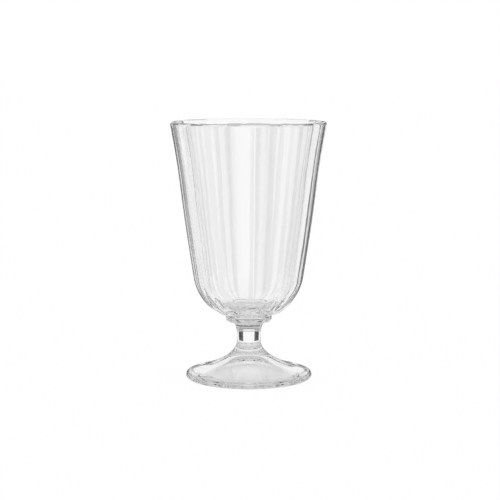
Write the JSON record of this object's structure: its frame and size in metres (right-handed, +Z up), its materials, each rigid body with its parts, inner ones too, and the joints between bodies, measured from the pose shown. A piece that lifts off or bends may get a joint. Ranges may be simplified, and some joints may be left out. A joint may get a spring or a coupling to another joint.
{
  "type": "footed parfait glass",
  "caption": "Clear pressed glass with a fluted, gently flared bowl on a short waisted stem and a hollow trumpet foot.",
  "frame": {"origin": "middle of the foot on the surface that the glass stands on", "axes": "+Z up along the axis of the glass, from the foot to the rim; one of the ridges between the flutes of the bowl faces -Y"},
  "size_m": [0.0846, 0.0846, 0.14],
  "materials": {
    "clear_glass": "clear fire-polished pressed soda-lime glass, smooth and glossy, with a faint grey-green tint in its thickness"
  },
  "bodies": {
    "root": {"bowl": "clear_glass", "collar": "clear_glass", "stem": "clear_glass", "foot": "clear_glass"}
  },
  "joints": []
}
